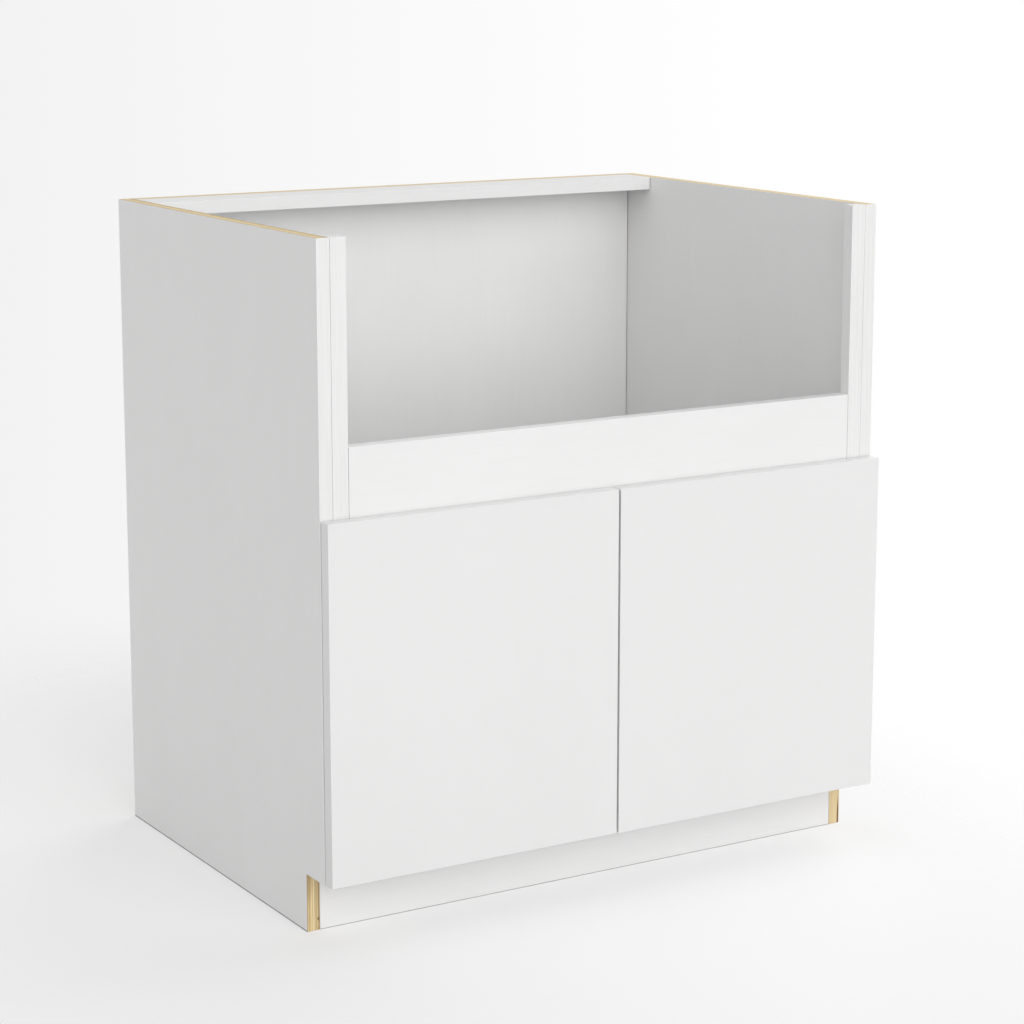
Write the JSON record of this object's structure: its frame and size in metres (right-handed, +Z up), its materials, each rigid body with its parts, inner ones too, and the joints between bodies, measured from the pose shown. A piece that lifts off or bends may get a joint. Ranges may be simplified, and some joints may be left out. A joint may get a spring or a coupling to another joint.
{
  "type": "farmhouse sink base cabinet",
  "caption": "Frameless plywood base cabinet, open at the top and front for an apron sink, with an apron rail, a recessed toe kick and a pair of slab doors on concealed hinges.",
  "frame": {"origin": "on the floor, at the middle of the width and of the full depth with the doors", "axes": "+Z up, +X to the right as seen from the front, +Y from the doors to the wall"},
  "size_m": [0.8382, 0.6096, 0.8763],
  "materials": {
    "white_board": "matte white laminate on plywood, with raw ply at the cut edges",
    "door_white": "smooth satin white",
    "edge_band": "satin white edge banding",
    "raw_plywood": "raw birch plywood",
    "beech_dowel": "fluted raw beech",
    "hinge_steel": "nickel plated pressed steel",
    "zinc_screw": "zinc plated",
    "zinc_cam": "die cast zinc",
    "clear_bumper": "soft translucent"
  },
  "bodies": {
    "carcass": {"left_side_panel": "white_board", "right_side_panel": "white_board", "left_side_edge_band": "edge_band", "right_side_edge_band": "edge_band", "back_panel": "white_board", "bottom_deck": "white_board", "deck_edge_band": "edge_band", "deck_batten": "raw_plywood", "toe_kick_board": "white_board", "apron_rail": "white_board", "left_front_strip": "white_board", "right_front_strip": "white_board", "rear_stretcher": "white_board", "left_apron_bracket": "hinge_steel", "right_apron_bracket": "hinge_steel", "apron_bracket_screws": "zinc_screw", "cam_locks": "zinc_cam", "cam_bolts": "zinc_cam", "wood_dowels": "beech_dowel", "left_upper_hinge_plate": "hinge_steel", "left_lower_hinge_plate": "hinge_steel", "right_upper_hinge_plate": "hinge_steel", "right_lower_hinge_plate": "hinge_steel", "left_upper_hinge_arm": "hinge_steel", "left_lower_hinge_arm": "hinge_steel", "right_upper_hinge_arm": "hinge_steel", "right_lower_hinge_arm": "hinge_steel", "hinge_plate_screws": "zinc_screw", "hinge_arm_screws": "zinc_screw", "hinge_arm_pins": "zinc_screw"},
    "left_links": {"left_upper_hinge_link": "hinge_steel", "left_lower_hinge_link": "hinge_steel"},
    "left_door": {"left_door_panel": "door_white", "left_door_edge_band": "edge_band", "left_upper_hinge_cup": "hinge_steel", "left_lower_hinge_cup": "hinge_steel", "left_cup_pins": "zinc_screw", "left_cup_screws": "zinc_screw", "left_door_bumpers": "clear_bumper"},
    "right_links": {"right_upper_hinge_link": "hinge_steel", "right_lower_hinge_link": "hinge_steel"},
    "right_door": {"right_door_panel": "door_white", "right_door_edge_band": "edge_band", "right_upper_hinge_cup": "hinge_steel", "right_lower_hinge_cup": "hinge_steel", "right_cup_pins": "zinc_screw", "right_cup_screws": "zinc_screw", "right_door_bumpers": "clear_bumper"}
  },
  "joints": [
    {"name": "left_link_swing", "type": "hinge", "parent": "carcass", "child": "left_links", "pos_m": [-0.3841, -0.274, 0.3057], "axis": [0, 0, 1], "range_deg": [0, 36.75]},
    {"name": "left_door_swing", "type": "hinge", "parent": "left_links", "child": "left_door", "pos_m": [-0.4071, -0.2927, 0.3057], "axis": [0, 0, -1], "range_deg": [0, 147]},
    {"name": "right_link_swing", "type": "hinge", "parent": "carcass", "child": "right_links", "pos_m": [0.3841, -0.274, 0.3057], "axis": [0, 0, -1], "range_deg": [0, 36.75]},
    {"name": "right_door_swing", "type": "hinge", "parent": "right_links", "child": "right_door", "pos_m": [0.4071, -0.2927, 0.3057], "axis": [0, 0, 1], "range_deg": [0, 147]}
  ],
  "couplings": [
    {"joint": "left_link_swing", "follows": "left_door_swing", "ratio": 0.25},
    {"joint": "right_link_swing", "follows": "right_door_swing", "ratio": 0.25}
  ]
}
